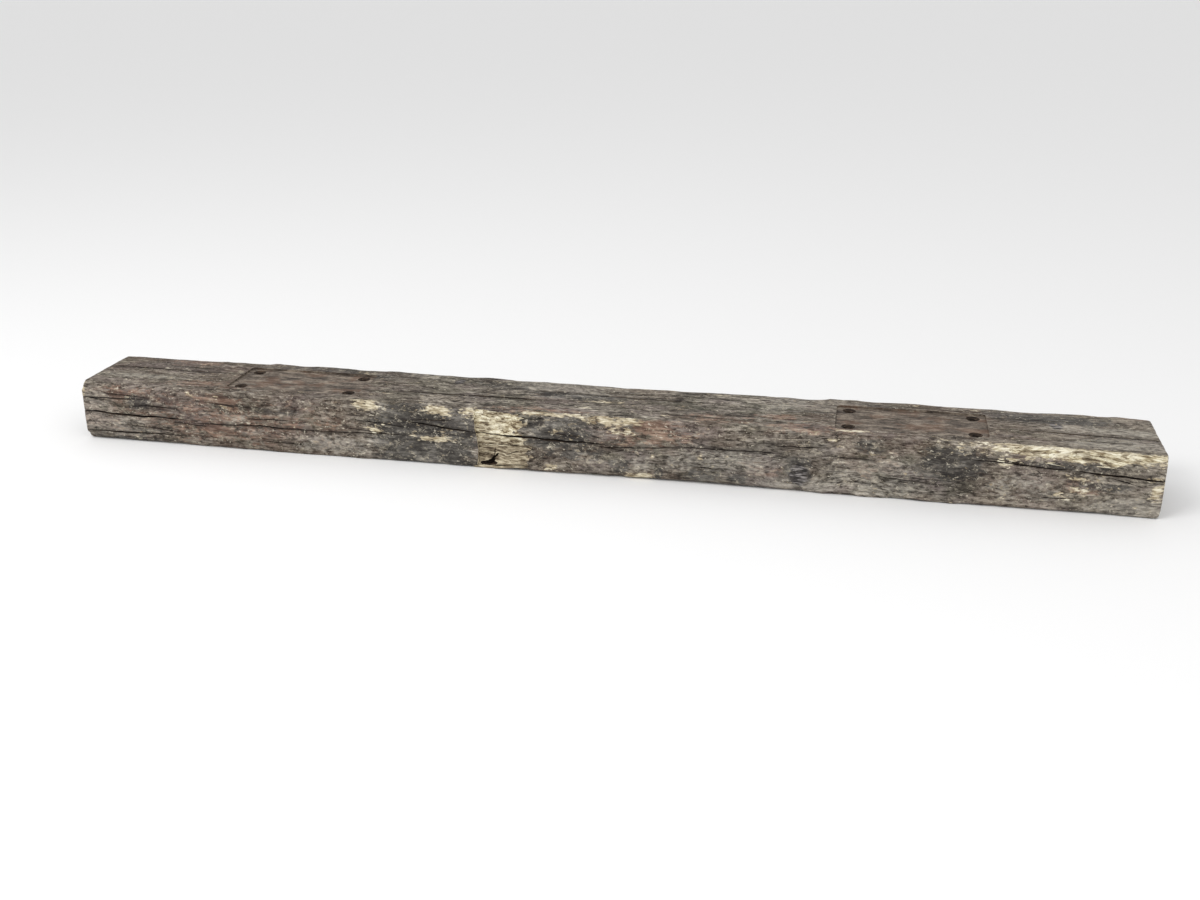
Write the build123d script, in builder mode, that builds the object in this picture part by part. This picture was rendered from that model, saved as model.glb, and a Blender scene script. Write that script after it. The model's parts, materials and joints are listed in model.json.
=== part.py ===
from build123d import *
import os
from math import cos, pi, radians, sin, tau

# A used railway sleeper, sawn from one baulk of oak and worn by years in the track.
# X runs along it, its front long side faces -Y and the side that carried the rails is up.
# The origin lies on the bed, under the middle of the sleeper. Sizes are in millimetres.

# Sawn size
length = 2600
width = 250
thickness = 150

# Wear of the faces and of the long and the end edges
face_wander = 2.4
top_edge_wear = 13
bed_edge_wear = 7
end_edge_wear = 5
end_cut_slant = 0.7  # degrees out of square

# Rails: distance between their centres, and the print of the baseplate under each
rail_spacing = 1505
plate_length = 345
plate_width = 160
plate_corner = 10
seat_depth = 5

# Sleeper screws: four to a baseplate, drilled right through
screw_spacing_along = 285
screw_spacing_across = 110
screw_hole_radius = 11
screw_mouth_radius = 16

# Torn upper edge at the right end, where the sapwood has come away
torn_edge_start = 0.30  # fraction of the length from the middle
torn_edge_end = 0.51  # just past the end of the sleeper
torn_edge_height = 30
torn_edge_bite = 9
torn_edge_stations = 9

# Patch on the front where the outer fibres have split off down to the pale sapwood
patch_middle = -0.077  # fraction of the length from the middle
patch_length = 126
patch_step = 7
splinter_hole_length = 34
splinter_hole_height = 22
splinter_hole_depth = 26

# Drying checks: each is a thin blade of missing wood that runs with the grain
blade_floor = 0.4  # width and reach left at the bottom of a blade, as a share of its mouth
clear_of_face = 2  # how far each cut starts outside the sawn face

# Shape of the patch at three heights: the height, how far its left step leans there, and its
# depth as a share of the step
patch_levels = [
    (-clear_of_face, 3, 0.8),
    (0.45 * thickness, -2, 1.0),
    (thickness + clear_of_face, 2, 0.7),
]

stations = 7  # sections along the body


def wander(place, waves, start):
    """Distance, always inwards, of a weathered face from the sawn plane."""
    slow = 0.34 * cos(waves * tau * place + start)
    quick = 0.16 * cos(2.7 * waves * tau * place)
    return face_wander * (0.5 - slow - quick)


def worn(radius, place, waves, start):
    """Radius of a worn edge, which comes and goes along the sleeper."""
    return radius * (1 + 0.25 * sin(waves * tau * place + start))


# Section of the body at a distance along it from the middle. Near the ends it is slanted with the
# saw cut and stands back inside the faces, where the edges of the end are worn round.
def body_section(along, slant=0, inset=0):
    place = along / length
    front = -width / 2 + wander(place, 1.3, 0.4)
    back = width / 2 - wander(place, 1.1, 2.2)
    top = thickness - wander(place, 1.5, 1.1)
    bed = -wander(place, 0.9, 0.2) / 4
    corners = [
        (front + inset, bed + inset),
        (back - inset, bed + inset),
        (back - inset, top - inset),
        (front + inset, top - inset),
    ]
    wear = [
        worn(bed_edge_wear, place, 1.3, 0.5),
        worn(bed_edge_wear, place, 1.6, 2.6),
        worn(top_edge_wear, place, 1.1, 1.3),
        worn(top_edge_wear, place, 1.3, 4.0),
    ]
    turn = radians(slant)
    cut = Plane(origin=(along, 0, 0), x_dir=(-sin(turn), cos(turn), 0), z_dir=(cos(turn), sin(turn), 0))
    with BuildSketch(cut) as section:
        with BuildLine():
            FilletPolyline(*corners, radius=wear, close=True)
        make_face()
    return section.sketch


# Outline of a check on the plane of a face: two curves that meet in a point at each end
def check_outline(plane, start, end, gape, sway):
    run = Vector(*end) - Vector(*start)
    across = Vector(-run.Y, run.X).normalized()
    upper = []
    lower = []
    for step in range(1, 5):
        share = step / 5
        middle = Vector(*start) + run * share + across * sway * sin(1.6 * tau * share + run.length)
        half_gape = across * gape / 2 * sin(pi * share) ** 0.7
        upper.append(middle + half_gape)
        lower.append(middle - half_gape)
    with BuildSketch(plane) as outline:
        with BuildLine():
            Spline(Vector(*start), *upper, Vector(*end))
            Spline(Vector(*end), *reversed(lower), Vector(*start))
        make_face()
    return outline.sketch


# The mouth of a check outside its face, and its narrower and shorter floor in the wood
def check_blade(face, start, end, gape, depth, sway):
    middle = (Vector(*start) + Vector(*end)) / 2
    floor_start = middle + (Vector(*start) - middle) * (1 - blade_floor)
    floor_end = middle + (Vector(*end) - middle) * (1 - blade_floor)
    mouth = check_outline(face.offset(clear_of_face), tuple(start), tuple(end), gape, sway)
    floor = check_outline(face.offset(-depth), tuple(floor_start), tuple(floor_end), gape * blade_floor, sway)
    return mouth, floor


# Planes of the long faces and the top: local X runs to the right as each is looked at
front_face = Plane(origin=(0, -width / 2, 0), x_dir=(1, 0, 0), z_dir=(0, -1, 0))
back_face = Plane(origin=(0, width / 2, 0), x_dir=(-1, 0, 0), z_dir=(0, 1, 0))
top_face = Plane(origin=(0, 0, thickness), x_dir=(1, 0, 0), z_dir=(0, 0, 1))

# Checks of each long face: start and end as shares of the length and of the face's height,
# then gape, depth and sway in millimetres
front_checks = [
    [(-0.510, 0.73), (-0.433, 0.78), 3.0, 22, 1.5],
    [(-0.508, 0.51), (-0.388, 0.47), 5.0, 45, 2.0],
    [(-0.392, 0.43), (-0.237, 0.44), 3.5, 30, 2.5],
    [(-0.508, 0.16), (-0.393, 0.18), 4.0, 30, 1.5],
    [(-0.373, 0.80), (-0.319, 0.75), 3.0, 18, 1.0],
    [(-0.173, 0.73), (-0.100, 0.60), 4.5, 35, 2.0],
    [(-0.112, 0.59), (0.024, 0.55), 5.5, 45, 2.5],
    [(0.012, 0.50), (0.090, 0.59), 3.0, 20, 2.0],
    [(0.082, 0.61), (0.184, 0.62), 3.0, 22, 2.0],
    [(0.336, 0.74), (0.430, 0.68), 3.5, 28, 2.0],
    [(0.424, 0.67), (0.508, 0.59), 5.0, 40, 1.5],
    [(0.452, 0.62), (0.484, 0.48), 2.5, 15, 1.0],
]
back_checks = [
    [(-0.508, 0.42), (-0.352, 0.50), 5.0, 40, 2.5],
    [(-0.330, 0.30), (-0.196, 0.33), 3.0, 25, 2.0],
    [(-0.215, 0.62), (-0.020, 0.57), 5.0, 45, 3.0],
    [(0.010, 0.40), (0.135, 0.44), 3.5, 25, 2.0],
    [(0.160, 0.68), (0.262, 0.66), 3.0, 20, 1.5],
    [(0.290, 0.48), (0.402, 0.53), 4.0, 30, 2.5],
    [(0.388, 0.30), (0.508, 0.27), 4.0, 35, 1.5],
]
top_checks = [
    [(-0.508, 0.10), (-0.372, 0.07), 5.0, 40, 2.0],
    [(-0.190, -0.12), (-0.030, -0.08), 5.5, 50, 3.0],
    [(-0.052, 0.15), (0.118, 0.11), 4.5, 35, 2.5],
    [(0.060, -0.27), (0.172, -0.30), 3.0, 20, 2.0],
    [(0.378, -0.06), (0.508, -0.10), 4.5, 40, 2.0],
]

# Splits of the ends, which run from the heart of the log: angle in degrees, reach as a share
# of the thickness, gape and depth in millimetres
heart_across = 0.06  # place of the heart, as shares of the width and the thickness
heart_height = 0.46
end_splits = [
    (14, 0.55, 4.0, 90),
    (96, 0.42, 3.5, 70),
    (168, 0.60, 4.5, 100),
    (218, 0.38, 3.0, 55),
    (301, 0.40, 3.0, 60),
]

with BuildPart() as sleeper:
    # Sawn baulk with its weathered faces, and its worn ends, cut a little out of square
    end_reach = length / 2 - width / 2 * sin(radians(end_cut_slant))
    body_reach = end_reach - end_edge_wear
    between = [body_section(body_reach * (2 * step / (stations - 1) - 1)) for step in range(1, stations - 1)]
    loft(sections=[
        body_section(-body_reach, -end_cut_slant),
        *between,
        body_section(body_reach, end_cut_slant),
    ])
    for side in (-1, 1):
        worn_end = []
        for share, inset in ((0, 0), (0.7, 0.3), (1, 1)):
            along = side * (end_reach - end_edge_wear * (1 - share))
            worn_end.append(body_section(along, side * end_cut_slant, end_edge_wear * inset))
        loft(sections=worn_end, ruled=True)
    split(bisect_by=Plane.XY, keep=Keep.TOP)

    # Prints of the two baseplates, cut square into the top by the load
    for side in (-1, 1):
        with BuildSketch(Plane(origin=(side * rail_spacing / 2, 0, thickness - seat_depth))):
            RectangleRounded(plate_length, plate_width, plate_corner)
        extrude(amount=seat_depth + clear_of_face, mode=Mode.SUBTRACT)

    # Screw holes, their mouths widened where the screws were drawn
    for side in (-1, 1):
        with Locations((side * rail_spacing / 2, 0, thickness - seat_depth)):
            with GridLocations(screw_spacing_along, screw_spacing_across, 2, 2):
                CounterSinkHole(screw_hole_radius, screw_mouth_radius, counter_sink_angle=90)

    # Torn upper edge at the right end: ragged triangles that deepen towards the end
    torn_sections = []
    for step in range(torn_edge_stations):
        share = step / (torn_edge_stations - 1)
        place = torn_edge_start + share * (torn_edge_end - torn_edge_start)
        ragged = 0.15 + 0.85 * share ** 0.8 + 0.22 * sin(9.5 * share + 0.5) * sin(pi * share)
        drop = torn_edge_height * ragged
        bite = torn_edge_bite * ragged
        with BuildSketch(Plane.YZ.offset(place * length), mode=Mode.PRIVATE) as torn:
            with BuildLine():
                Polyline(
                    (-width / 2 - clear_of_face, thickness + clear_of_face),
                    (-width / 2 - clear_of_face, thickness - drop),
                    (-width / 2 + bite * 0.6, thickness - drop * 0.75),
                    (-width / 2 + bite, thickness + clear_of_face),
                    close=True,
                )
            make_face()
        torn_sections.append(torn.sketch)
    loft(sections=torn_sections, mode=Mode.SUBTRACT)

    # Split-off patch on the front: a sharp step at its left, running out to the right
    patch_sections = []
    for level, lean, share in patch_levels:
        left = patch_middle * length - patch_length / 2 + lean
        depth = patch_step * share
        with BuildSketch(Plane.XY.offset(level), mode=Mode.PRIVATE) as patch:
            with BuildLine():
                Line((left, -width / 2 - clear_of_face), (left + 1, -width / 2 + depth))
                Spline(
                    (left + 1, -width / 2 + depth),
                    (left + patch_length * 0.4, -width / 2 + depth * 0.8),
                    (left + patch_length * 0.75, -width / 2 + depth * 0.55),
                    (left + patch_length, -width / 2 - clear_of_face),
                )
                Line((left + patch_length, -width / 2 - clear_of_face), (left, -width / 2 - clear_of_face))
            make_face()
        patch_sections.append(patch.sketch)
    loft(sections=patch_sections, mode=Mode.SUBTRACT)

    # Hole at the foot of the patch, where a splinter has broken out of the lower edge
    hole_middle = (patch_middle * length - patch_length / 2 + splinter_hole_length, splinter_hole_height / 3)
    with BuildSketch(front_face.offset(clear_of_face)):
        with Locations(hole_middle):
            Ellipse(splinter_hole_length / 2, splinter_hole_height / 2)
    with BuildSketch(front_face.offset(-splinter_hole_depth)):
        with Locations(hole_middle):
            Ellipse(splinter_hole_length / 4, splinter_hole_height / 5)
    loft(mode=Mode.SUBTRACT)

    # Drying checks of the long faces and the top
    for face, rise, checks in (
        (front_face, thickness, front_checks),
        (back_face, thickness, back_checks),
        (top_face, width, top_checks),
    ):
        for start, end, gape, depth, sway in checks:
            ends = [(place * length, height * rise) for place, height in (start, end)]
            loft(sections=check_blade(face, *ends, gape, depth, sway), mode=Mode.SUBTRACT)

    # Splits of both ends, turned a little from one end to the other
    for side in (-1, 1):
        heart = Vector(heart_across * width * side, heart_height * thickness)
        end_face = Plane(origin=(side * length / 2, 0, 0), x_dir=(0, side, 0), z_dir=(side, 0, 0))
        for angle, reach, gape, depth in end_splits:
            turned = radians(angle + 11 * side)
            outer = heart + Vector(cos(turned), sin(turned)) * reach * thickness
            inner = heart + Vector(cos(turned), sin(turned)) * gape
            ends = [(inner.X, inner.Y), (outer.X, outer.Y)]
            loft(sections=check_blade(end_face, *ends, gape, depth, gape / 4), mode=Mode.SUBTRACT)

sleeper.part.label = "sleeper"
os.makedirs("parts", exist_ok=True)
export_step(sleeper.part, "parts/sleeper.step")
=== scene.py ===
import json
from math import cos, pi, radians, sin, tau
import bmesh
import bpy
import numpy as np
from mathutils import Matrix, Vector

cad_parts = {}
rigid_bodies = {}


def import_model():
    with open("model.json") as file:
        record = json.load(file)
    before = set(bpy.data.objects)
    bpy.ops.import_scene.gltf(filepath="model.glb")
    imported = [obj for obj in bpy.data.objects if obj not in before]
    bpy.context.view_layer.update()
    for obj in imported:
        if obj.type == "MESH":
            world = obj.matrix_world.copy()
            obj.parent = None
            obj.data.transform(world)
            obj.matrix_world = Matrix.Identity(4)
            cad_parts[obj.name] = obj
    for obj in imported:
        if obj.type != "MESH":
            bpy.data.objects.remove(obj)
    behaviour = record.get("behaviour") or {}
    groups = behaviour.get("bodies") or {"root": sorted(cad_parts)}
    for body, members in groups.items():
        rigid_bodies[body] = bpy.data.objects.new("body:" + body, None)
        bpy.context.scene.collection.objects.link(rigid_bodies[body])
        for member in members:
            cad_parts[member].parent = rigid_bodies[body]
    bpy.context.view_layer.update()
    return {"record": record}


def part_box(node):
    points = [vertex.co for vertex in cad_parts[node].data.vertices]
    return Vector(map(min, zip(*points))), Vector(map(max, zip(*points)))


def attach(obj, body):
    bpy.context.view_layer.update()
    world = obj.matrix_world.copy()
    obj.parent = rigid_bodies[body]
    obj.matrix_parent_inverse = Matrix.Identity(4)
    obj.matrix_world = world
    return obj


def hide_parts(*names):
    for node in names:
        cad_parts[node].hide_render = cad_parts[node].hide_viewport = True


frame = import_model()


# The baulk
# One length of oak, sawn square. Ballast, sun and rain have rounded its long edges over the
# years and worn the soft grain back, so that the hard grain stands up in long ridges.
low, high = (Vector(corner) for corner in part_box("sleeper"))
length, width, thickness = high - low
middle = (low + high) / 2
room_for_ridges = 0.003

bpy.ops.object.select_all(action="DESELECT")
bpy.ops.mesh.primitive_cube_add(size=1, location=middle)
sleeper = bpy.context.object
sleeper.name = "worn_sleeper"
sleeper.scale = (length - room_for_ridges, width - room_for_ridges, thickness - room_for_ridges / 2)
bpy.ops.object.transform_apply()


def select(kind, test):
    """In edit mode, selects the verts, edges or faces of the active piece that pass the test."""
    bpy.ops.mesh.select_mode(type={"verts": "VERT", "edges": "EDGE", "faces": "FACE"}[kind])
    bpy.ops.mesh.select_all(action="DESELECT")
    edit = bmesh.from_edit_mesh(bpy.context.object.data)
    for element in getattr(edit, kind):
        if test(element):
            element.select_set(True)
    edit.select_flush_mode()
    bmesh.update_edit_mesh(bpy.context.object.data)


def runs_along(edge, axis):
    """True if an edge runs along that axis."""
    run = edge.verts[1].co - edge.verts[0].co
    return abs(run[axis]) > 0.99 * run.length


def from_long_edge(point):
    """Distance of a point from the nearest long edge of the sawn baulk."""
    from_side = width / 2 - abs(point.y - middle.y)
    from_top_or_bed = thickness / 2 - abs(point.z - middle.z)
    return max(from_side, from_top_or_bed)


def from_end(point):
    """Distance of a point from the nearer end of the baulk."""
    return length / 2 - abs(point.x - middle.x)


# a fine grid over the whole skin, with two rings of it close to each end
bpy.ops.object.mode_set(mode="EDIT")
for axis, cuts in ((0, 12), (0, 18), (1, 7), (1, 5), (2, 10), (2, 5)):
    select("edges", lambda edge: runs_along(edge, axis))
    bpy.ops.mesh.subdivide(number_cuts=cuts)
for side in (-1, 1):
    for reach in (0.002, 0.005):
        bpy.ops.mesh.select_all(action="SELECT")
        ring = (middle.x + side * (length / 2 - room_for_ridges / 2 - reach), 0, 0)
        bpy.ops.mesh.bisect(plane_co=ring, plane_no=(1, 0, 0))

# worn edges: all of them a little, and in long stretches a good deal more
for reach, repeat, waves in ((0.007, 10, 0), (0.012, 20, 9), (0.018, 34, 4)):
    select("verts", lambda vert: from_long_edge(vert.co) < reach and sin(
        waves * vert.co.x + reach * 400) >= 0)
    bpy.ops.mesh.vertices_smooth(factor=0.5, repeat=repeat)

# worn ends: the rim of each, and a little further in at its four corners
end_wear = 0.006
corner_wear = 0.020


def on_end_rim(point):
    """True if a point lies on the worn rim of an end."""
    on_side = abs(point.y - middle.y) > width / 2 - end_wear
    on_top_or_bed = abs(point.z - middle.z) > thickness / 2 - end_wear
    return from_end(point) < end_wear and (
        from_long_edge(point) < corner_wear or on_side or on_top_or_bed)


select("verts", lambda vert: on_end_rim(vert.co))
bpy.ops.mesh.vertices_smooth(factor=0.5, repeat=4)
bpy.ops.object.mode_set(mode="OBJECT")

# lumps are strongest at the long edges, and the ends are left out of the grain relief
lumpy_band = 0.022
end_band = 0.004
edges = sleeper.vertex_groups.new(name="edges")
sides = sleeper.vertex_groups.new(name="sides")
for vert in sleeper.data.vertices:
    closeness = 1 - from_long_edge(vert.co) / lumpy_band
    if closeness > 0:
        edges.add([vert.index], closeness, "REPLACE")
    if from_end(vert.co) > end_band:
        sides.add([vert.index], 1, "REPLACE")

bpy.ops.object.empty_add()
grain = bpy.context.object


def roughen(piece, size, stretch, strength, detail=1, group="", start=0.0):
    """Gives the piece soft lumps of that size, drawn out along the grain."""
    grain.location = (start, start / 3, -start / 2)
    grain.scale = (stretch, 1, 1)
    bpy.context.view_layer.update()
    lumps = bpy.data.textures.new("lumps", "CLOUDS")
    lumps.noise_scale = size
    lumps.noise_depth = detail
    relief = piece.modifiers.new("relief", "DISPLACE")
    relief.texture = lumps
    relief.texture_coords = "OBJECT"
    relief.texture_coords_object = grain
    relief.strength = strength
    relief.vertex_group = group
    bpy.context.view_layer.objects.active = piece
    bpy.ops.object.modifier_apply(modifier=relief.name)


def coordinates(mesh, name="position"):
    """The coordinates or normals of a mesh, a row to each vertex."""
    values = np.empty(3 * len(mesh.vertices), dtype=np.float32)
    if name == "position":
        mesh.vertices.foreach_get("co", values)
    else:
        mesh.vertex_normals.foreach_get("vector", values)
    return values.reshape(-1, 3)


roughen(sleeper, size=0.30, stretch=1.6, strength=0.0040)
roughen(sleeper, size=0.045, stretch=3, strength=0.0022, start=0.7)
roughen(sleeper, size=0.022, stretch=3, strength=0.0085, detail=2, group="edges", start=4.4)

# hard grain stands proud and soft grain lies low, and the height is kept for the finish
before = coordinates(sleeper.data)
roughen(sleeper, size=0.013, stretch=14, strength=0.0030, detail=2, group="sides", start=1.9)
roughen(sleeper, size=0.0065, stretch=18, strength=0.0018, group="sides", start=3.1)
proud = sleeper.data.attributes.new("proud", "FLOAT", "POINT")
raised = ((coordinates(sleeper.data) - before) * coordinates(sleeper.data, "normal")).sum(axis=1)
proud.data.foreach_set("value", raised / 0.001)

# the highest ridges are rubbed down to the sawn size, and flat where the bed lies on the ground
rubbed_off = 0.0003
rubbed_off_bed = 0.0001
rubbed_low = low + Vector((rubbed_off, rubbed_off, rubbed_off_bed))
rubbed_high = high - Vector((rubbed_off, rubbed_off, rubbed_off))
rubbed = np.clip(coordinates(sleeper.data), rubbed_low, rubbed_high)
sleeper.data.vertices.foreach_set("co", rubbed.ravel())
sleeper.data.update()


# What is missing from the baulk
# Holes, prints, checks and torn places are laid out first as solid tools of their own shape, and
# then taken out of the baulk in one go. Each leaves its finish on the wood that it lays bare.
tools = bpy.data.collections.new("tools")
bpy.context.scene.collection.children.link(tools)


def finish_of(name):
    """The material of that name, which is mixed further down."""
    return bpy.data.materials.get(name) or bpy.data.materials.new(name)


def lay_out(tool, finish):
    """Puts a tool with the others, in the finish that it leaves on the wood."""
    tool.data.materials.clear()
    tool.data.materials.append(finish_of(finish))
    bpy.context.scene.collection.objects.unlink(tool)
    tools.objects.link(tool)


def copy_of(model, scale=(1, 1, 1), turn=(0, 0, 0), place=(0, 0, 0)):
    """A copy of a model with a mesh of its own, scaled, turned and put in its place."""
    copy = model.copy()
    copy.data = model.data.copy()
    bpy.context.scene.collection.objects.link(copy)
    bpy.ops.object.select_all(action="DESELECT")
    copy.select_set(True)
    bpy.context.view_layer.objects.active = copy
    copy.scale = scale
    copy.rotation_euler = turn
    copy.location = place
    bpy.ops.object.transform_apply()
    return copy


for finish_name in ("weathered_oak", "check_wood", "torn_sapwood", "pressed_oak"):
    sleeper.data.materials.append(finish_of(finish_name))


# Torn places
# Beside the middle the outer fibres have split off down to the pale sapwood, with a sharp step at
# the left and a hole at the foot, and at the right end the upper edge has been torn away.
def torn_tool(name, place, size, cells, turn=0.0):
    """A block with a fine grid, whose skin takes the shape of torn fibres."""
    bpy.ops.object.select_all(action="DESELECT")
    bpy.ops.mesh.primitive_cube_add(size=1)
    tool = bpy.context.object
    tool.name = name
    tool.scale = size
    bpy.ops.object.transform_apply()
    bpy.ops.object.mode_set(mode="EDIT")
    for axis, cuts in enumerate(cells):
        select("edges", lambda edge: runs_along(edge, axis))
        bpy.ops.mesh.subdivide(number_cuts=cuts)
    bpy.ops.object.mode_set(mode="OBJECT")
    tool.rotation_euler.x = turn
    tool.location = place
    bpy.ops.object.transform_apply()
    return tool


patch_start = -0.263
patch_end = -0.098
patch_length = patch_end - patch_start
patch_depth = 0.009
past_skin = 0.020
patch_tool = torn_tool(
    "patch", ((patch_start + patch_end) / 2, low.y - past_skin / 2, thickness / 2),
    (patch_length, past_skin, thickness + past_skin), (34, 3, 60))
bpy.ops.object.mode_set(mode="EDIT")
select("verts", lambda vert: vert.co.y > low.y - 0.001)
bpy.ops.mesh.extrude_region_move(TRANSFORM_OT_translate={"value": (0, patch_depth, 0)})
bpy.ops.object.mode_set(mode="OBJECT")

# it is deepest at the step and runs out to the right, and the step itself sways a little
for vert in patch_tool.data.vertices:
    if vert.co.y > low.y + 0.001:
        run_out = max(vert.co.x - patch_start, 0) / patch_length
        vert.co.y -= 1.5 * patch_depth * run_out ** 1.6
    vert.co.x += 0.004 * sin(38 * vert.co.z) * (1 - (vert.co.x - patch_start) / 0.2)
roughen(patch_tool, size=0.011, stretch=0.6, strength=0.0050, detail=2, start=0.6)
roughen(patch_tool, size=0.006, stretch=5, strength=0.0035, detail=2, start=0.2)
roughen(patch_tool, size=0.030, stretch=2, strength=0.0040, start=0.8)
lay_out(patch_tool, "torn_sapwood")

bpy.ops.object.select_all(action="DESELECT")
bpy.ops.mesh.primitive_uv_sphere_add(segments=28, ring_count=18, radius=1)
hollow = bpy.context.object

# hole at the foot of the patch: place along, height, half length, half height and lean
hole_depth = 0.024
for x, z, half_long, half_high, lean in (
        (-0.235, 0.013, 0.022, 0.0065, -4), (-0.230, 0.018, 0.014, 0.0055, -32),
        (-0.221, 0.029, 0.015, 0.0032, -46), (-0.206, 0.007, 0.016, 0.0035, -2)):
    half_sizes = (half_long, hole_depth, half_high)
    hole_tool = copy_of(hollow, half_sizes, (0, radians(lean), 0), (x, low.y + 0.004, z))
    roughen(hole_tool, size=0.005, stretch=2, strength=0.004, detail=2, start=x)
    lay_out(hole_tool, "check_wood")

# the torn upper edge, from a shallow start to the right end
edge_start = 0.905
edge_end = high.x + 0.030
edge_tool = torn_tool("edge", ((edge_start + edge_end) / 2, low.y - 0.0045, high.z - 0.008),
                      (edge_end - edge_start, 0.020, 0.068), (64, 5, 22), turn=radians(-17))

# it goes in slowly over its first stretch, and its lower line sways
for vert in edge_tool.data.vertices:
    nearness = max(1 - (vert.co.x - edge_start) / 0.10, 0)
    vert.co.y -= 0.020 * nearness
    vert.co.z += 0.006 * sin(31 * vert.co.x) + 0.004 * sin(83 * vert.co.x)
roughen(edge_tool, size=0.008, stretch=6, strength=0.0060, detail=2, start=0.2)
roughen(edge_tool, size=0.040, stretch=2, strength=0.0060, start=1.3)
lay_out(edge_tool, "torn_sapwood")

# bites that stones and hooks have taken out of the long edges: place along, front or back, foot or
# top, half length and depth
for x, side_y, side_z, half_long, deep in (
        (0.083, -1, 0, 0.030, 0.015), (-0.94, -1, 0, 0.045, 0.010), (-0.745, -1, 1, 0.040, 0.009),
        (-0.085, -1, 0, 0.080, 0.009), (0.022, -1, 0, 0.085, 0.011), (0.415, -1, 0, 0.060, 0.009),
        (0.335, -1, 1, 0.035, 0.008), (0.60, -1, 0, 0.050, 0.009), (-1.285, -1, 0, 0.030, 0.012),
        (-0.46, -1, 1, 0.050, 0.009), (1.16, -1, 0, 0.040, 0.008), (-0.62, 1, 1, 0.060, 0.014),
        (0.20, 1, 1, 0.080, 0.012), (1.02, 1, 1, 0.050, 0.013), (-1.10, 1, 1, 0.040, 0.010),
        (0.48, 1, 0, 0.060, 0.012), (-0.30, 1, 0, 0.050, 0.010), (-1.296, 1, 1, 0.030, 0.016)):
    corner = (x, side_y * width / 2, side_z * thickness)
    bite = copy_of(hollow, (half_long, deep, deep), place=corner)
    roughen(bite, size=0.012, stretch=3, strength=deep * 0.7, detail=2, start=x)
    lay_out(bite, "weathered_oak")
bpy.data.objects.remove(hollow)


# Baseplate prints and screw holes
# Each rail lay on a ribbed plate held by four screws, which pressed a flat print into the top.
# The screws have been drawn, and their holes go right through.
seats = [mount for mount in frame["record"]["mounts"] if mount["name"].endswith("rail_seat")]
screw_patterns = [mount for mount in frame["record"]["mounts"] if mount["kind"] == "bolt_pattern"]
plate_length = 0.345
plate_width = 0.160
plate_corner = 0.010
mouth_radius = 0.016
seat_height = seats[0]["pos_m"][2]
hole_radius = screw_patterns[0]["dims"]["hole_r_mm"] / 1000

for seat in seats:
    seat_x = seat["pos_m"][0]
    print_tool = torn_tool("print", (seat_x, 0, seat_height + 0.010), (plate_length, plate_width, 0.020),
                           (29, 13, 1))
    bpy.ops.object.mode_set(mode="EDIT")
    select("edges", lambda edge: runs_along(edge, 2)
           and abs(edge.verts[0].co.x - seat_x) > plate_length / 2 - 0.001
           and abs(edge.verts[0].co.y) > plate_width / 2 - 0.001)
    bpy.ops.mesh.bevel(offset=plate_corner, segments=4)
    bpy.ops.object.mode_set(mode="OBJECT")
    roughen(print_tool, size=0.03, stretch=3, strength=0.0008)
    lay_out(print_tool, "pressed_oak")

# one hole, drilled right through, with its mouth widened by the drawing of the screw
mouth_depth = mouth_radius - hole_radius
past_mouth = 0.006
drilled = seat_height - mouth_depth + 0.025
drilled_middle = seat_height - mouth_depth - drilled / 2
bpy.ops.object.select_all(action="DESELECT")
bpy.ops.mesh.primitive_cylinder_add(
    vertices=28, radius=hole_radius, depth=drilled, location=(0, 0, drilled_middle))
screw_hole = bpy.context.object
bpy.ops.object.transform_apply()
bpy.ops.object.mode_set(mode="EDIT")
select("faces", lambda face: face.normal.z > 0.9)
bpy.ops.mesh.extrude_region_move(TRANSFORM_OT_translate={"value": (0, 0, mouth_depth + past_mouth)})
flare = (mouth_radius + past_mouth) / hole_radius
bpy.ops.transform.resize(value=(flare, flare, 1))
bpy.ops.object.mode_set(mode="OBJECT")
for pattern in screw_patterns:
    pattern_x, pattern_y, _ = pattern["pos_m"]
    sizes = pattern["dims"]
    for side_x in (-0.5, 0.5):
        for side_y in (-0.5, 0.5):
            place = (pattern_x + side_x * sizes["spacing_x_mm"] / 1000,
                     pattern_y + side_y * sizes["spacing_y_mm"] / 1000, 0)
            lay_out(copy_of(screw_hole, place=place), "check_wood")
bpy.data.objects.remove(screw_hole)


# Drying checks
# Oak opens along the grain as it dries. Each check is a thin wandering blade of missing wood,
# widest at its middle; the long ones on the front start at the left end.
bpy.ops.object.select_all(action="DESELECT")
bpy.ops.mesh.primitive_cube_add(size=1, location=(0, 0, -0.5))
blade = bpy.context.object
bpy.ops.object.transform_apply()
bpy.ops.object.mode_set(mode="EDIT")
select("edges", lambda edge: runs_along(edge, 0))
bpy.ops.mesh.subdivide(number_cuts=23)
select("edges", lambda edge: runs_along(edge, 2))
bpy.ops.mesh.subdivide(number_cuts=2)

# it gets shorter and narrower with its depth, and closes towards both ends
for level, share in ((-1 / 3, 0.75), (-2 / 3, 0.5), (-1, 0.25)):
    select("verts", lambda vert: abs(vert.co.z - level) < 0.01)
    bpy.ops.transform.resize(value=(1 + level * 0.25, share, 1))
bpy.ops.object.mode_set(mode="OBJECT")
for vert in blade.data.vertices:
    vert.co.y *= max(1 - (2 * vert.co.x) ** 2, 0) ** 0.6 + 0.03


clear_of_face = 0.006
check_lines = []


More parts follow.
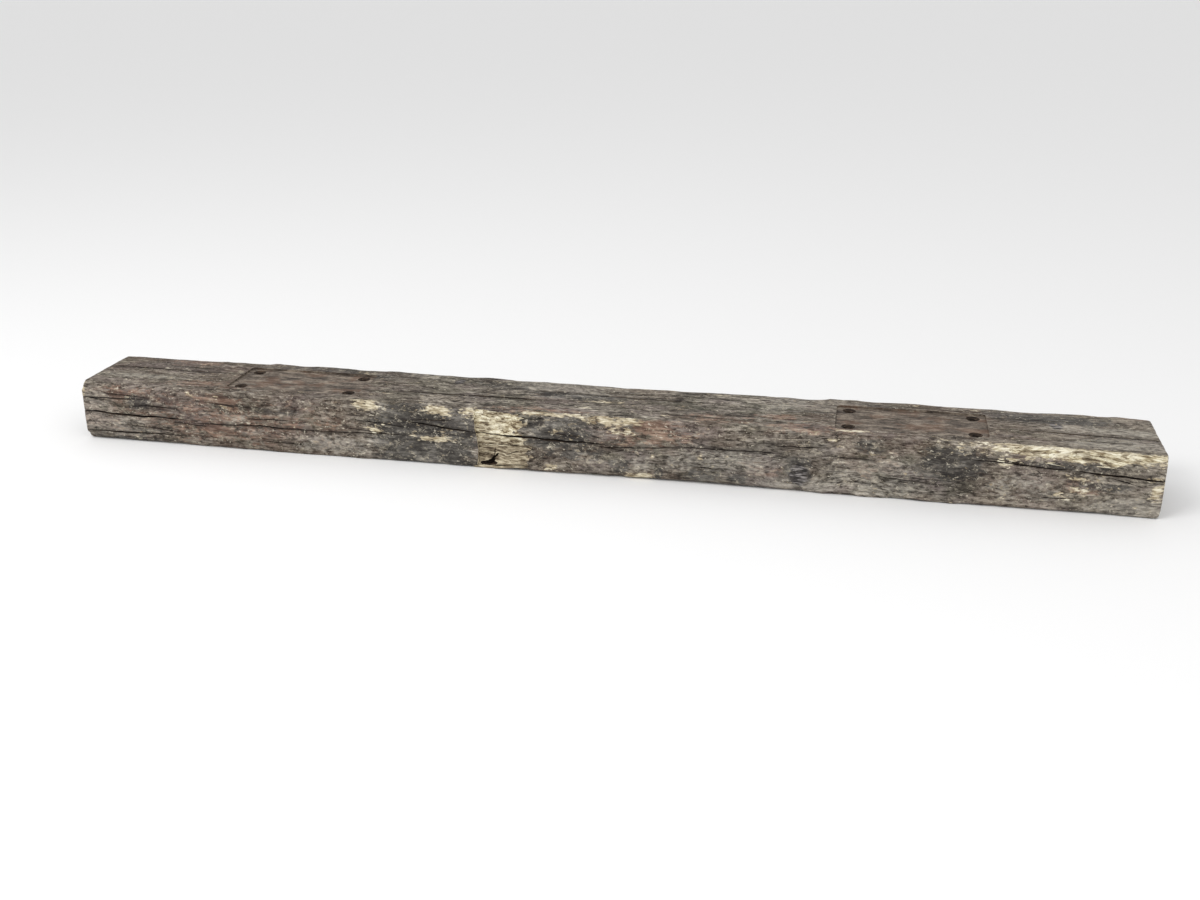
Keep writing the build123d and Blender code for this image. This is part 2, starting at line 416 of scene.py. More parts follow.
def lay_out_check(start, end, inward, gape, depth, sway):
    """A check between two points of a face. inward points into the wood."""
    start, end, inward = Vector(start), Vector(end), Vector(inward)
    check_lines.append((start, end))
    run = end - start
    tool = copy_of(blade, (run.length, gape, depth + clear_of_face))
    along = run.normalized()
    across = (-inward).cross(along)
    tool.rotation_euler = Matrix((along, across, -inward)).transposed().to_euler()
    tool.location = (start + end) / 2 - inward * clear_of_face
    for size, strength, direction in (
            (0.12, sway, "Y"), (0.03, sway / 2, "Y"), (0.009, gape * 0.7, "NORMAL")):
        wander = bpy.data.textures.new("wander", "CLOUDS")
        wander.noise_scale = size
        ragged = tool.modifiers.new("ragged", "DISPLACE")
        ragged.texture = wander
        ragged.texture_coords = "GLOBAL"
        ragged.direction = direction
        ragged.strength = strength
        bpy.ops.object.modifier_apply(modifier=ragged.name)
    bpy.ops.object.transform_apply()
    lay_out(tool, "check_wood")


# start and end as shares of the length and of the height or width of the face, then gape, depth and
# sway in metres
front_checks = [
    ((-0.510, 0.73), (-0.433, 0.78), 0.0030, 0.022, 0.006),
    ((-0.508, 0.51), (-0.388, 0.47), 0.0050, 0.045, 0.008),
    ((-0.392, 0.43), (-0.237, 0.44), 0.0035, 0.030, 0.010),
    ((-0.508, 0.16), (-0.393, 0.18), 0.0040, 0.030, 0.006),
    ((-0.373, 0.80), (-0.319, 0.75), 0.0030, 0.018, 0.004),
    ((-0.173, 0.73), (-0.100, 0.60), 0.0045, 0.035, 0.008),
    ((-0.112, 0.59), (0.024, 0.55), 0.0055, 0.045, 0.010),
    ((0.012, 0.50), (0.090, 0.59), 0.0030, 0.020, 0.008),
    ((0.082, 0.61), (0.184, 0.62), 0.0030, 0.022, 0.008),
    ((0.336, 0.74), (0.430, 0.68), 0.0035, 0.028, 0.008),
    ((0.424, 0.67), (0.508, 0.59), 0.0050, 0.040, 0.006),
    ((0.452, 0.62), (0.484, 0.48), 0.0025, 0.015, 0.004),
    ((-0.0850, 0.16), (-0.0830, 0.38), 0.0042, 0.014, 0.012),
    ((-0.0855, 0.22), (-0.0560, 0.30), 0.0032, 0.010, 0.016),
    ((-0.0830, 0.05), (-0.0500, 0.10), 0.0032, 0.010, 0.010),
    ((-0.0760, 0.42), (-0.0450, 0.38), 0.0030, 0.008, 0.012),
]
back_checks = [
    ((-0.508, 0.42), (-0.352, 0.50), 0.0050, 0.040, 0.010),
    ((-0.330, 0.30), (-0.196, 0.33), 0.0030, 0.025, 0.008),
    ((-0.215, 0.62), (-0.020, 0.57), 0.0050, 0.045, 0.012),
    ((0.010, 0.40), (0.135, 0.44), 0.0035, 0.025, 0.008),
    ((0.160, 0.68), (0.262, 0.66), 0.0030, 0.020, 0.006),
    ((0.290, 0.48), (0.402, 0.53), 0.0040, 0.030, 0.010),
    ((0.388, 0.30), (0.508, 0.27), 0.0040, 0.035, 0.006),
]
top_checks = [
    ((-0.508, 0.10), (-0.372, 0.07), 0.0050, 0.040, 0.008),
    ((-0.190, -0.12), (-0.030, -0.08), 0.0055, 0.050, 0.012),
    ((-0.052, 0.15), (0.118, 0.11), 0.0045, 0.035, 0.010),
    ((0.060, -0.27), (0.172, -0.30), 0.0030, 0.020, 0.008),
    ((0.378, -0.06), (0.508, -0.10), 0.0045, 0.040, 0.008),
]
# thin checks: start and end in millimetres on the front, and others scattered over top and back
thin_checks = [
    ((-1310, 112), (-1225, 107)), ((-1240, 126), (-1120, 122)), ((-1150, 101), (-1040, 97)),
    ((-1185, 46), (-1030, 36)), ((-1060, 62), (-960, 57)), ((-665, 64), (-430, 73)),
    ((-600, 79), (-480, 71)), ((-575, 100), (-440, 92)), ((-430, 112), (-318, 118)),
    ((-262, 58), (-150, 66)), ((-100, 104), (0, 98)), ((20, 80), (112, 70)),
    ((250, 46), (340, 40)), ((560, 96), (680, 92)), ((690, 52), (800, 47)),
    ((900, 118), (1010, 108)), ((1020, 30), (1130, 35)), ((-850, 84), (-740, 88)),
    ((-830, 30), (-700, 26)), ((440, 110), (560, 116)),
]
thin_gape = 0.0028
for start, end in thin_checks:
    ends = [(x / 1000, low.y, z / 1000) for x, z in (start, end)]
    lay_out_check(*ends, (0, 1, 0), thin_gape, 0.014, 0.006)
chance = np.random.default_rng(3)
for number in range(16):
    x = -1.22 + number * 0.16 + chance.uniform(-0.03, 0.03)
    reach = chance.uniform(0.05, 0.11)
    lean = chance.uniform(-0.006, 0.006)
    across = chance.uniform(-0.10, 0.10)
    ends = [(x - reach, across - lean, high.z), (x + reach, across + lean, high.z)]
    lay_out_check(*ends, (0, 0, -1), thin_gape, 0.016, 0.008)
    up = chance.uniform(0.02, 0.13)
    ends = [(x + reach, high.y, up - lean), (x - reach, high.y, up + lean)]
    lay_out_check(*ends, (0, -1, 0), thin_gape, 0.016, 0.008)

for checks, on_face, inward in (
        (front_checks, lambda x, z: (x * length, low.y, z * thickness), (0, 1, 0)),
        (back_checks, lambda x, z: (-x * length, high.y, z * thickness), (0, -1, 0)),
        (top_checks, lambda x, y: (x * length, y * width, high.z), (0, 0, -1))):
    for start, end, gape, depth, sway in checks:
        lay_out_check(on_face(*start), on_face(*end), inward, gape, depth, sway)

# splits of the ends, in a star about the heart of the log: degrees, reach, gape and depth, with thin
# checks between them
heart = Vector((0, 0.06 * width, 0.46 * thickness))
end_splits = ((14, 0.082, 0.0040, 0.090), (96, 0.063, 0.0035, 0.070), (168, 0.090, 0.0045, 0.100),
              (218, 0.057, 0.0030, 0.055), (301, 0.060, 0.0030, 0.060))
for side in (-1, 1):
    for angle, reach, gape, depth in end_splits:
        turned = radians(angle + 11 * side)
        outward = Vector((0, side * cos(turned), sin(turned)))
        centre = Vector((middle.x + side * length / 2, side * heart.y, heart.z))
        inner, outer = centre - outward * 0.010, centre + outward * reach
        lay_out_check(inner, outer, (-side, 0, 0), 1.3 * gape, depth, 0.008)
    for number in range(11):
        turned = radians(number * 33 + 50 * side)
        outward = Vector((0, side * cos(turned), sin(turned)))
        near = centre + outward * chance.uniform(0.015, 0.035)
        far = near + outward * chance.uniform(0.02, 0.05)
        lay_out_check(near, far, (-side, 0, 0), 0.0022, 0.015, 0.006)
bpy.data.objects.remove(blade)
bpy.data.objects.remove(grain)

openings = sleeper.modifiers.new("openings", "BOOLEAN")
openings.operation = "DIFFERENCE"
openings.solver = "MANIFOLD"
openings.operand_type = "COLLECTION"
openings.collection = tools
bpy.context.view_layer.objects.active = sleeper
bpy.ops.object.modifier_apply(modifier=openings.name)
for tool in list(tools.objects):
    bpy.data.objects.remove(tool)
bpy.data.collections.remove(tools)


# Where the oak is bare, black, red, dusty or rusty
# The skin isn't the same all over: each kind of mark is painted on as soft-edged spots, and the
# finish below breaks their borders up along the grain.
def smooth_step(value):
    """Eases a value between 0 and 1 in and out."""
    value = np.clip(value, 0, 1)
    return value * value * (3 - 2 * value)


points = coordinates(sleeper.data)
along, across, up = points.T
turned_to = {
    "front": smooth_step((-across - 0.100) / 0.014),
    "back": smooth_step((across - 0.100) / 0.014),
    "top": smooth_step((up - 0.133) / 0.012),
    "bed": smooth_step((0.010 - up) / 0.006),
}
heights = {"front": up, "back": up, "top": across, "bed": across}


def paint(name, spots):
    """Spots: face, from and to along the sleeper, from and to across the face (mm), strength."""
    cover = np.zeros(len(points), dtype=np.float32)
    for face, left, right, below, above, strength in spots:
        aside = abs(along * 1000 - (left + right) / 2) / (right - left) * 2
        higher = abs(heights[face] * 1000 - (below + above) / 2) / (above - below) * 2
        from_middle = (aside ** 3 + higher ** 3) ** (1 / 3)
        cover = np.maximum(cover, strength * np.clip(1.6 - from_middle, 0, 1) * turned_to[face])
    layer = sleeper.data.attributes.new(name, "FLOAT", "POINT")
    layer.data.foreach_set("value", cover)


def scattered(faces, count, long, high, strength):
    """Spots of about that length and height, scattered over the faces."""
    spots = []
    for face in faces:
        reach = (8, 142) if face == "back" else (-117, 117)
        for _ in range(count):
            x, y = chance.uniform(-1290, 1290), chance.uniform(*reach)
            half_long, half_high = chance.uniform(0.4, 1, 2) * (long / 2, high / 2)
            spots.append((face, x - half_long, x + half_long, y - half_high, y + half_high,
                          chance.uniform(0.6, 1) * strength))
    return spots


chance = np.random.default_rng(7)
other_faces = ("top", "back", "bed")
paint("bare", [
    ("front", -577, -513, 130, 150, 0.80), ("front", -388, -331, 130, 152, 0.85),
    ("front", 10, 130, 134, 160, 0.95), ("front", -420, -320, 58, 74, 0.62),
    ("front", -539, -504, 70, 86, 0.64), ("front", -150, -10, 144, 154, 0.78),
    ("front", -296, -258, 130, 152, 0.70), ("front", 268, 286, 60, 82, 0.76),
    ("front", 158, 174, 57, 68, 0.66), ("front", 100, 165, 4, 17, 0.90),
    ("front", 905, 1310, 124, 165, 0.84), ("front", 1085, 1140, 34, 66, 0.52),
    ("front", 1272, 1310, 46, 96, 0.72), ("front", 935, 985, 100, 124, 0.54),
    ("front", -1310, -1290, 110, 160, 0.6), ("front", 560, 600, 132, 142, 0.48),
    ("front", 1100, 1170, 78, 94, 0.52), ("front", 55, 130, 112, 134, 0.46),
    ("front", -932, -905, 104, 114, 0.5), ("front", 810, 850, 130, 150, 0.5),
    ("front", -100, -60, 8, 24, 0.56), ("front", -140, 0, 84, 150, 0.18),
    ("front", -520, -300, 84, 150, 0.10),
    *scattered(other_faces, 10, 100, 20, 0.66)])
paint("black", [
    ("front", -520, -262, -20, 160, 0.85), ("front", -137, 10, 70, 146, 0.95),
    ("front", -110, 60, 36, 80, 0.60), ("front", 779, 920, 58, 142, 0.80),
    ("front", 170, 190, 2, 40, 0.85), ("front", 345, 392, 8, 40, 0.75),
    ("front", 474, 536, 14, 90, 0.70), ("front", 1080, 1240, 56, 80, 0.62),
    ("front", 990, 1200, 100, 124, 0.62), ("front", -1180, -1100, 84, 128, 0.62),
    ("front", 60, 110, 6, 60, 0.62), ("front", 240, 330, 6, 40, 0.58),
    ("front", -1290, -1060, 4, 16, 0.60), ("front", 620, 700, 100, 146, 0.52),
    ("front", -860, -700, 96, 120, 0.55),
    ("top", -960, -545, -105, 105, 0.55), ("top", 545, 960, -105, 105, 0.55),
    *scattered(other_faces, 7, 300, 80, 0.75)])
paint("red", [
    ("front", -1290, -1100, 108, 146, 0.70), ("front", -984, -876, 114, 140, 0.85),
    ("front", -985, -900, 42, 66, 0.80), ("front", 120, 215, 112, 152, 0.90),
    ("front", 1090, 1170, 46, 80, 0.80), ("front", 360, 470, 26, 66, 0.52),
    ("front", -1230, -640, 10, 130, 0.48), ("front", 40, 260, 76, 146, 0.50),
    ("front", 600, 740, 50, 120, 0.45), ("front", -1330, -1190, 20, 120, 0.60),
    *scattered(other_faces, 8, 260, 60, 0.70)])
paint("dusty", [
    ("front", 425, 600, 2, 34, 0.85), ("front", -1290, -1120, 40, 70, 0.60),
    ("front", 200, 460, 30, 90, 0.62), ("front", 1150, 1310, -4, 44, 0.80),
    ("front", 600, 780, 4, 60, 0.62), ("front", -760, -520, 6, 60, 0.60),
    ("front", -1310, -1060, 16, 44, 0.66), ("front", 930, 1100, 20, 90, 0.52),
    ("front", 110, 170, 24, 60, 0.62), ("front", -480, -280, 10, 60, 0.55),
    ("front", -1320, -1215, 10, 150, 0.66), ("front", 560, 780, 10, 110, 0.52),
    *scattered(other_faces, 9, 320, 80, 0.80)])
paint("rusty", [
    ("top", -985, -520, -110, 110, 0.60), ("top", 520, 985, -110, 110, 0.60)])

# painted shade in and beside the checks, fading out over a short reach from each
shade_reach = 0.010
shade_near_checks = np.zeros(len(points), dtype=np.float32)
for start, end in check_lines:
    run = np.array(end - start)
    share = np.clip((points - np.array(start)) @ run / (run @ run), 0, 1)
    aside = np.linalg.norm(points - np.array(start) - share[:, None] * run, axis=1)
    shade_near_checks = np.maximum(shade_near_checks, np.clip(1 - aside / shade_reach, 0, 1))
layer = sleeper.data.attributes.new("grimy", "FLOAT", "POINT")
layer.data.foreach_set("value", shade_near_checks)


# Weathered oak
# Oak soaked in tar oil and bleached by the sun: grey-brown, mottled and fibrous, bruised by
# stones, with pale sapwood where the skin has split off and black stains beside it.
def srgb(red, green, blue):
    """The colour with those screen values."""
    return tuple((value / 255) ** 2.2 for value in (red, green, blue)) + (1,)


def bare_finish(name):
    """The finish of that name, emptied before it is mixed."""
    emptied = finish_of(name)
    emptied.use_nodes = True
    emptied.node_tree.nodes.clear()
    return emptied


def node(kind, inputs=(), output=0, **settings):
    """Adds a node to the finish in hand. Inputs are sockets or values by name or number."""
    added = finish.node_tree.nodes.new("ShaderNode" + kind)
    for name, value in settings.items():
        setattr(added, name, value)
    for name, value in dict(inputs).items():
        if isinstance(value, bpy.types.NodeSocket):
            finish.node_tree.links.new(value, added.inputs[name])
        else:
            added.inputs[name].default_value = value
    return added.outputs[output]


def maths(operation, *values):
    return node("Math", enumerate(values), operation=operation)


def plus(first, second):
    return maths("ADD", first, second)


def minus(first, second):
    return maths("SUBTRACT", first, second)


def times(first, second):
    return maths("MULTIPLY", first, second)


def vector_maths(operation, *values):
    return node("VectorMath", enumerate(values), operation=operation)


def length_of(vector):
    return node("VectorMath", {0: vector}, output=1, operation="LENGTH")


def noise(size, stretch=1.0, detail=2, roughness=0.5, distortion=0.0, place=None):
    """Soft noise whose lumps are about that size in metres, drawn out along the grain."""
    drawn = node("Mapping", {"Vector": place or bent, "Scale": (1 / stretch, 1, 1)})
    return node("TexNoise", {"Vector": drawn, "Scale": 1 / size, "Detail": detail, "Roughness": roughness,
                             "Distortion": distortion})


def spread(value, start, end, low_value=0.0, high_value=1.0):
    """Turns start to end of a value into low to high, smoothly and no further."""
    return node("MapRange", {0: value, 1: start, 2: end, 3: low_value, 4: high_value},
                interpolation_type="SMOOTHSTEP")


def mix(share, first, second, blend="MIX"):
    return node("Mix", {0: share, 6: first, 7: second}, output=2, data_type="RGBA", blend_type=blend)


def ramp(value, *stops):
    """Colours, each at its place on the way from 0 to 1."""
    coloured = finish.node_tree.nodes.new("ShaderNodeValToRGB")
    for _ in stops[2:]:
        coloured.color_ramp.elements.new(0.5)
    for element, (position, colour) in zip(coloured.color_ramp.elements, stops):
        element.position = position
        element.color = srgb(*colour)
    finish.node_tree.links.new(value, coloured.inputs[0])
    return coloured.outputs[0]


def painted(name):
    return node("Attribute", output=2, attribute_name=name)


def broken_up(name, raggedness):
    """A painted mark, broken up along the grain: about 0.5 at its border."""
    broken = plus(times(noise(0.018, 2.2, 5, 0.72), 0.65), times(noise(0.005, 2.5, 2), 0.35))
    return plus(painted(name), times(minus(broken, 0.5), raggedness))


def ragged(name, raggedness, softness):
    """How far a mark covers the wood, with its border softened."""
    return spread(broken_up(name, raggedness), 0.5 - softness, 0.5 + softness)


def shade(colour, roughness, height):
    """Ends the finish in hand with its colour, roughness and relief in millimetres."""
    bump = node("Bump", {"Height": height, "Distance": 0.001})
    shaded = node("BsdfPrincipled", {"Base Color": colour, "Roughness": roughness, "Normal": bump,
                                     "Specular IOR Level": 0.3})
    surface = finish.node_tree.nodes.new("ShaderNodeOutputMaterial")
    finish.node_tree.links.new(shaded, surface.inputs["Surface"])


def grain_places(knots=()):
    """Coordinates in which the grain wavers a little and bows round the knots."""
    place = node("TexCoord", output=3)
    waver = node("TexNoise", {"Vector": place, "Scale": 4.5, "Detail": 1}, output=1)
    offset = vector_maths("SUBTRACT", waver, (0.5, 0.5, 0.5))
    offset = vector_maths("MULTIPLY", offset, (0, 0.05, 0.05))
    place = vector_maths("ADD", place, offset)
    for *knot, reach in knots:
        away = vector_maths("SUBTRACT", place, knot)
        flat = vector_maths("MULTIPLY", away, (0.55, 0.6, 1))
        pull = spread(length_of(flat), 0, reach * 2.4, -0.75, 0)
        pushed = node("VectorMath", {0: away, "Scale": pull}, operation="SCALE")
        pushed = vector_maths("MULTIPLY", pushed, (0, 1, 1))
        place = vector_maths("ADD", place, pushed)
    return place


# place and size of each knot
knots = ((0.507, low.y, 0.044, 0.030), (-0.36, 0.07, high.z, 0.022), (0.33, high.y, 0.10, 0.026),
         (-0.82, high.y, 0.05, 0.020), (1.08, 0.03, high.z, 0.024))

finish = bare_finish("weathered_oak")
bent = grain_places(knots)
place = node("TexCoord", output=3)
x = node("SeparateXYZ", {0: place})

fibre = noise(0.0030, 9, 3, 0.65)
streak = noise(0.010, 8, 4, 0.65)
mottle = noise(0.034, 2.2, 6, 0.68)
cloud = noise(0.20, 1.6, 3)
grit = noise(0.0066, 2.6, 5, 0.72)

# sun-bleached grey-brown, greyer or redder in places, and darker towards the left end
tone = plus(times(mottle, 0.42), times(streak, 0.32))
tone = plus(tone, times(grit, 0.26))
colour = ramp(tone, (0.40, (46, 41, 37)), (0.45, (87, 80, 73)), (0.50, (130, 123, 113)),
              (0.545, (168, 160, 148)), (0.60, (212, 204, 190)))
colour = mix(spread(cloud, 0.44, 0.60, 0, 0.38), colour, srgb(120, 100, 86))
colour = mix(spread(noise(0.15, 2.0, 3, place=place), 0.50, 0.66, 0, 0.45), colour, srgb(116, 117, 112))
colour = mix(spread(noise(0.060, 1.8, 3, place=place), 0.50, 0.62, 0, 0.34), colour, srgb(106, 106, 90))
colour = mix(spread(noise(0.070, 2.2, 3), 0.51, 0.62, 0, 0.34), colour, srgb(118, 102, 104))
colour = mix(spread(x, -1.0, 0.2, 0.32, 0), colour, srgb(90, 74, 64))
colour = mix(spread(x, 0.85, 1.15, 0, 0.34), colour, srgb(172, 162, 148))
lines = ramp(fibre, (0.32, (190, 187, 184)), (0.48, (238, 237, 236)), (0.62, (255, 255, 255)))
pores = ramp(grit, (0.38, (134, 131, 127)), (0.45, (218, 216, 214)), (0.54, (255, 255, 255)))
colour = mix(1.0, mix(1.0, colour, lines, "MULTIPLY"), pores, "MULTIPLY")

# soft grain lies low and dark, hard grain stands proud and pale
colour = mix(spread(painted("proud"), 0.1, -1.3, 0, 0.42), colour, srgb(54, 48, 43))
colour = mix(spread(painted("proud"), 0.2, 1.6, 0, 0.30), colour, srgb(160, 152, 140))

# hairline checks
crease = maths("ABSOLUTE", minus(noise(0.024, 12, 2), 0.5))
hairline = times(spread(crease, 0.010, 0.002), spread(noise(0.10, 3), 0.46, 0.56))
colour = mix(times(hairline, 0.85), colour, srgb(34, 29, 25))

# reddish wood, dust, black weathering and rust
red = ragged("red", 3.4, 0.16)
reddish = ramp(streak, (0.38, (88, 66, 58)), (0.5, (140, 106, 90)), (0.60, (190, 154, 132)))
colour = mix(times(red, 0.42), colour, reddish)
dusty = ragged("dusty", 3.4, 0.20)
colour = mix(times(dusty, 0.50), colour, ramp(grit, (0.38, (124, 119, 111)), (0.6, (188, 182, 170))))
black = ragged("black", 2.4, 0.14)
blackened = ramp(tone, (0.40, (34, 31, 29)), (0.46, (54, 51, 48)), (0.52, (80, 77, 73)),
                 (0.58, (118, 114, 108)), (0.64, (160, 154, 144)))
colour = mix(times(black, 0.88), colour, blackened)
stain = spread(noise(0.030, 1.4, 5, 0.68), 0.57, 0.66)
colour = mix(times(stain, 0.62), colour, srgb(50, 44, 40))
# painted shade beside the checks, broken up along the grain
grimy = times(painted("grimy"), spread(streak, 0.40, 0.56, 0.25, 1.0))
colour = mix(times(grimy, 0.75), colour, srgb(40, 35, 31))
rusty = ragged("rusty", 3.0, 0.2)
colour = mix(times(rusty, 0.38), colour, ramp(mottle, (0.42, (58, 46, 40)), (0.58, (112, 84, 66))))

# bruises left by stones: short curved strokes of crushed pale fibre, and chips
swirl = maths("ABSOLUTE", minus(noise(0.020, 1.5, 4, 0.72, 0.6, place), 0.5))
crushed = spread(noise(0.013, 1.6, 4, 0.7, place=place), 0.49, 0.60)
crushed = times(crushed, spread(grit, 0.40, 0.54, 0.15, 1.0))
stroke = times(spread(swirl, 0.052, 0.004), crushed)
colour = mix(times(stroke, plus(0.50, times(black, 0.14))), colour, srgb(190, 180, 160))
chip = spread(noise(0.0085, 1.5, 4, 0.7, 0.3, place=place), 0.62, 0.675)
colour = mix(times(chip, 0.68), colour, srgb(210, 201, 182))

# knots: dark, and crossed by the grain
for *knot, reach in knots:
    away = vector_maths("SUBTRACT", place, knot)
    flat = vector_maths("MULTIPLY", away, (1.05, 0.8, 0.80))
    uneven = times(noise(0.010, 2, 4, 0.65, place=place), 0.020)
    distance = plus(length_of(flat), uneven)
    core = ramp(noise(0.0055, 5, 3, 0.65, place=place), (0.42, (24, 22, 22)), (0.48, (46, 42, 42)),
                (0.54, (92, 88, 87)), (0.60, (146, 141, 138)))
    colour = mix(spread(distance, reach * 1.22, reach * 0.92, 0, 0.88), colour, core)

# bare sapwood, cream where it is fresh and tan where it has lain open for longer
bareness = broken_up("bare", 4.2)
sapwood = ramp(plus(times(fibre, 0.5), times(mottle, 0.5)),
               (0.40, (122, 106, 84)), (0.46, (178, 164, 136)), (0.52, (218, 207, 180)),
               (0.59, (244, 238, 218)))
sapwood = mix(spread(bareness, 0.80, 0.48, 0, 0.75), sapwood, srgb(146, 130, 106))
colour = mix(spread(bareness, 0.40, 0.62, 0, 0.92), colour, sapwood)

# end grain: growth rings about the heart, grey with dark patches, and painted shade beside the splits
year_width = 0.0046
heart_away = vector_maths("MULTIPLY", place, (0, 1, 1))
heart_away = vector_maths("SUBTRACT", heart_away, (0, heart.y, heart.z))
from_heart = length_of(heart_away)
from_heart = plus(from_heart, times(noise(0.06, 1, 2, place=place), 0.024))
from_heart = plus(from_heart, times(noise(0.008, 1, 3, 0.6, place=place), 0.003))
uneven = times(noise(0.030, 1, 3, 0.6, place=place), 5.0)
year = maths("SINE", plus(times(from_heart, tau / year_width), uneven))
end_colour = mix(spread(year, -0.7, 0.9), srgb(84, 74, 65), srgb(124, 113, 100))
end_colour = mix(spread(grit, 0.44, 0.60, 0, 0.55), end_colour, srgb(146, 138, 124))
end_colour = mix(spread(mottle, 0.52, 0.42, 0, 0.8), end_colour, srgb(62, 54, 48))
bleached = spread(noise(0.05, 1, 4, 0.65, place=place), 0.48, 0.62, 0, 0.6)
end_colour = mix(bleached, end_colour, srgb(118, 114, 106))
# painted shade beside the end splits
end_colour = mix(times(painted("grimy"), 0.7), end_colour, srgb(36, 31, 27))
facing = node("SeparateXYZ", {0: node("NewGeometry", output=3)})
on_end = spread(maths("ABSOLUTE", facing), 0.66, 0.86)
colour = mix(on_end, colour, end_colour)

height = plus(times(fibre, 1.1), times(streak, 1.4))
height = plus(height, times(grit, 1.3))
height = minus(height, times(hairline, 1.6))
height = plus(height, times(stroke, 0.35))
shade(colour, spread(black, 0, 1, 0.88, 0.66), height)


# Torn sapwood
# Where the skin has split off, long cream fibres stand in steps, with brown resin between them.
finish = bare_finish("torn_sapwood")
bent = grain_places(((-0.232, low.y, 0.016, 0.020),))
place = node("TexCoord", output=3)
fibre = noise(0.0022, 14, 4, 0.65)
strand = noise(0.007, 7, 4, 0.65)
blotch = noise(0.026, 2.0, 5, 0.66)
tone = plus(times(strand, 0.6), times(fibre, 0.4))
colour = ramp(tone, (0.39, (84, 70, 54)), (0.45, (146, 130, 102)), (0.50, (200, 188, 158)),
              (0.56, (232, 225, 200)), (0.62, (246, 241, 224)))
aged = ramp(tone, (0.40, (56, 48, 40)), (0.46, (96, 84, 70)), (0.52, (136, 122, 102)),
            (0.60, (196, 182, 154)))

# older and browner low on the patch and where it runs out, and fresh along the upper edge
x, z = (node("SeparateXYZ", {0: place}, output=axis) for axis in (0, 2))
low_down = spread(plus(z, times(blotch, 0.10)), 0.142, 0.112)
run_out = spread(plus(x, times(blotch, 0.12)), -0.100, -0.072)
far_end = spread(x, 0.2, 0.3)
old = maths("MAXIMUM", times(low_down, 0.8), times(run_out, minus(1.0, far_end)))
old = times(old, minus(1.0, far_end))
old = maths("MAXIMUM", old, times(spread(blotch, 0.52, 0.59), 0.66))
colour = mix(old, colour, aged)
height = plus(times(fibre, 1.2), times(strand, 2.4))
shade(colour, 0.8, height)


# Wood pressed by the baseplates
# Flattened and smooth, brown with tar and grease, and stained by the rust of the plates.
finish = bare_finish("pressed_oak")
bent = grain_places()
place = node("TexCoord", output=3)
fibre = noise(0.0030, 14, 3, 0.6)
streak = noise(0.009, 10, 4, 0.65)
mottle = noise(0.030, 1.8, 5, 0.66, place=place)
grit = noise(0.0062, 1.4, 5, 0.75, place=place)
tone = plus(times(streak, 0.35), times(mottle, 0.35))
tone = plus(tone, times(grit, 0.30))
colour = ramp(tone, (0.41, (52, 45, 40)), (0.46, (82, 73, 65)), (0.51, (110, 99, 88)),
              (0.57, (150, 138, 124)))
rust = spread(noise(0.045, 1.5, 4, 0.65, place=place), 0.50, 0.62, 0, 0.40)
colour = mix(rust, colour, srgb(112, 80, 60))
colour = mix(spread(fibre, 0.50, 0.38, 0, 0.45), colour, srgb(54, 47, 41))
shade(colour, 0.70, plus(times(fibre, 0.8), times(streak, 0.8)))


# Wood inside the checks
# Dark with tar and dirt and darker still with painted shade, with a little of the grain still to be seen
# near the mouth.
finish = bare_finish("check_wood")
bent = grain_places()
fibre = noise(0.004, 12, 3, 0.6)
# near-black: the wood's tar and dirt, with painted shade of the deep check on top
colour = ramp(fibre, (0.35, (26, 21, 18)), (0.5, (50, 41, 34)), (0.65, (84, 70, 58)))
shade(colour, 0.85, fibre)

bpy.ops.object.select_all(action="DESELECT")
sleeper.select_set(True)
bpy.context.view_layer.objects.active = sleeper
bpy.ops.object.shade_smooth_by_angle(angle=radians(40))
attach(sleeper, "root")
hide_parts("sleeper")


# Loose splinters
# Slivers of sapwood that still hang by one end at the foot of the patch and along the torn edge,
# the two longest below the hole. One is drawn out and bent, and all the others are copies of it.
bpy.ops.object.select_all(action="DESELECT")
bpy.ops.mesh.primitive_circle_add(vertices=6, radius=0.5, fill_type="NGON", rotation=(0, pi / 2, 0))
sliver = bpy.context.object
bpy.ops.object.transform_apply()
bpy.ops.object.mode_set(mode="EDIT")
bpy.ops.mesh.select_all(action="SELECT")
for step in range(8):
    onward = (0.125, 0.02 * (step - 3), 0.012 * step)
    bpy.ops.mesh.extrude_region_move(TRANSFORM_OT_translate={"value": onward})
    bpy.ops.transform.resize(value=(1, 0.86, 0.80 if step > 2 else 1.04))
bpy.ops.mesh.select_all(action="SELECT")
bpy.ops.mesh.normals_make_consistent(inside=False)
bpy.ops.object.mode_set(mode="OBJECT")

# place along, depth in the wood, height, length, thickness and lean of each
chance = np.random.default_rng(12)
patch_foot = [
    (-0.272, 0.006, 0.0038, 0.090, 0.0058, 0), (-0.255, 0.008, 0.030, 0.034, 0.0036, 26),
    (-0.256, 0.008, 0.040, 0.052, 0.0034, 14), (-0.222, 0.0035, 0.0052, 0.105, 0.0052, 4),
    (-0.208, 0.006, 0.046, 0.056, 0.0030, 6), (-0.198, 0.006, 0.030, 0.050, 0.0030, 0)]
for _ in range(14):
    patch_foot.append((
        chance.uniform(-0.20, -0.14), chance.uniform(0.004, 0.006), chance.uniform(0.006, 0.080),
        chance.uniform(0.018, 0.040), chance.uniform(0.0012, 0.0024), chance.uniform(-5, 7)))
torn_edge = []
for x in np.linspace(0.93, 1.24, 22):
    torn_edge.append((
        x, chance.uniform(0.002, 0.006), chance.uniform(0.116, 0.142),
        chance.uniform(0.018, 0.055), chance.uniform(0.0014, 0.0030), chance.uniform(-12, 10)))
splinters = []
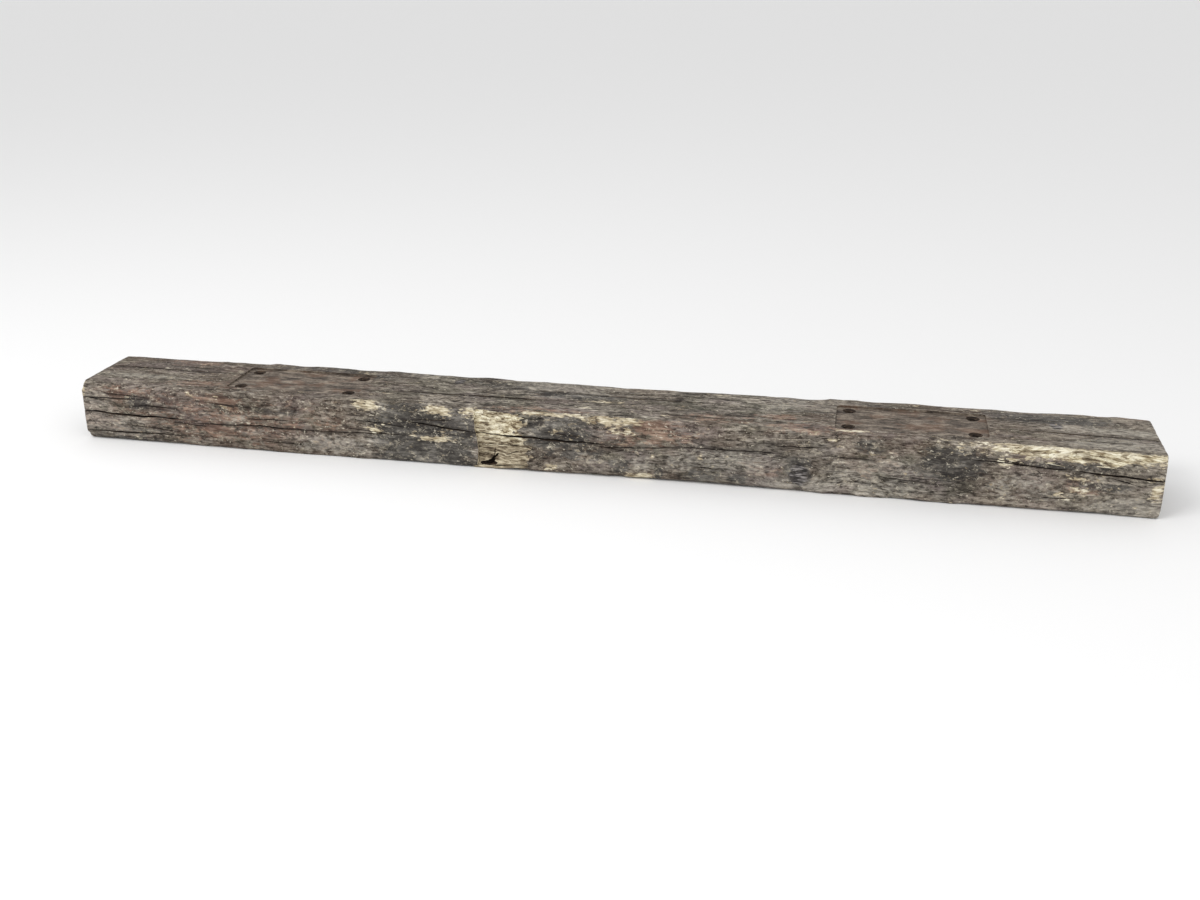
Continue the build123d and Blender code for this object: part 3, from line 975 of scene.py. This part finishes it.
for x, inside, z, long, thick, lean in (*patch_foot, *torn_edge):
    turn = (chance.uniform(-0.6, 0.6), -radians(lean), chance.uniform(-0.05, 0.02))
    splinters.append(copy_of(sliver, (long, thick * 1.6, thick), turn, (x, low.y + inside, z)))
bpy.data.objects.remove(sliver)
for splinter in splinters:
    splinter.select_set(True)
bpy.context.view_layer.objects.active = splinters[0]
bpy.ops.object.join()
splinters = bpy.context.object
splinters.name = "loose_splinters"
splinters.data.materials.append(finish_of("torn_sapwood"))
inside_skin = 0.0004
for vert in splinters.data.vertices:
    vert.co.y = max(vert.co.y, low.y + inside_skin)
    vert.co.z = min(max(vert.co.z, inside_skin), high.z - inside_skin)
bpy.ops.object.shade_smooth_by_angle(angle=radians(40))
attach(splinters, "root")


# Floor, light and camera
# A pale floor under even light, with one large soft lamp at the upper left and a weak one at the
# right.
bpy.ops.mesh.primitive_plane_add(size=200)
floor = bpy.context.object
floor.name = "floor"
pale = bpy.data.materials.new("pale_floor")
pale.use_nodes = True
pale.node_tree.nodes["Principled BSDF"].inputs["Base Color"].default_value = (0.92, 0.92, 0.92, 1)
pale.node_tree.nodes["Principled BSDF"].inputs["Roughness"].default_value = 0.9
floor.data.materials.append(pale)

world = bpy.data.worlds.new("studio")
bpy.context.scene.world = world
world.use_nodes = True
world.node_tree.nodes["Background"].inputs["Color"].default_value = (1, 1, 1, 1)
world.node_tree.nodes["Background"].inputs["Strength"].default_value = 0.80
for name, place, energy, size in (
        ("key", (-2.5, -3.0, 4.0), 115, 2.5), ("fill", (3.5, -3.0, 2.5), 25, 3.0)):
    bpy.ops.object.light_add(type="AREA", location=place)
    lamp = bpy.context.object
    lamp.name = name
    lamp.data.energy = energy
    lamp.data.size = size
    lamp.rotation_euler = (Vector((0, 0, 0.1)) - Vector(place)).to_track_quat("-Z", "Y").to_euler()

camera_place = Vector((0.619, -3.0, 1.208))
aim = Vector((0.035, -0.10, 0.06))
bpy.ops.object.camera_add(location=camera_place)
camera = bpy.context.object
camera.data.sensor_width = 36
camera.data.lens = 40
camera.rotation_euler = (aim - camera_place).to_track_quat("-Z", "Y").to_euler()
bpy.context.scene.camera = camera
bpy.context.scene.view_settings.view_transform = "Standard"
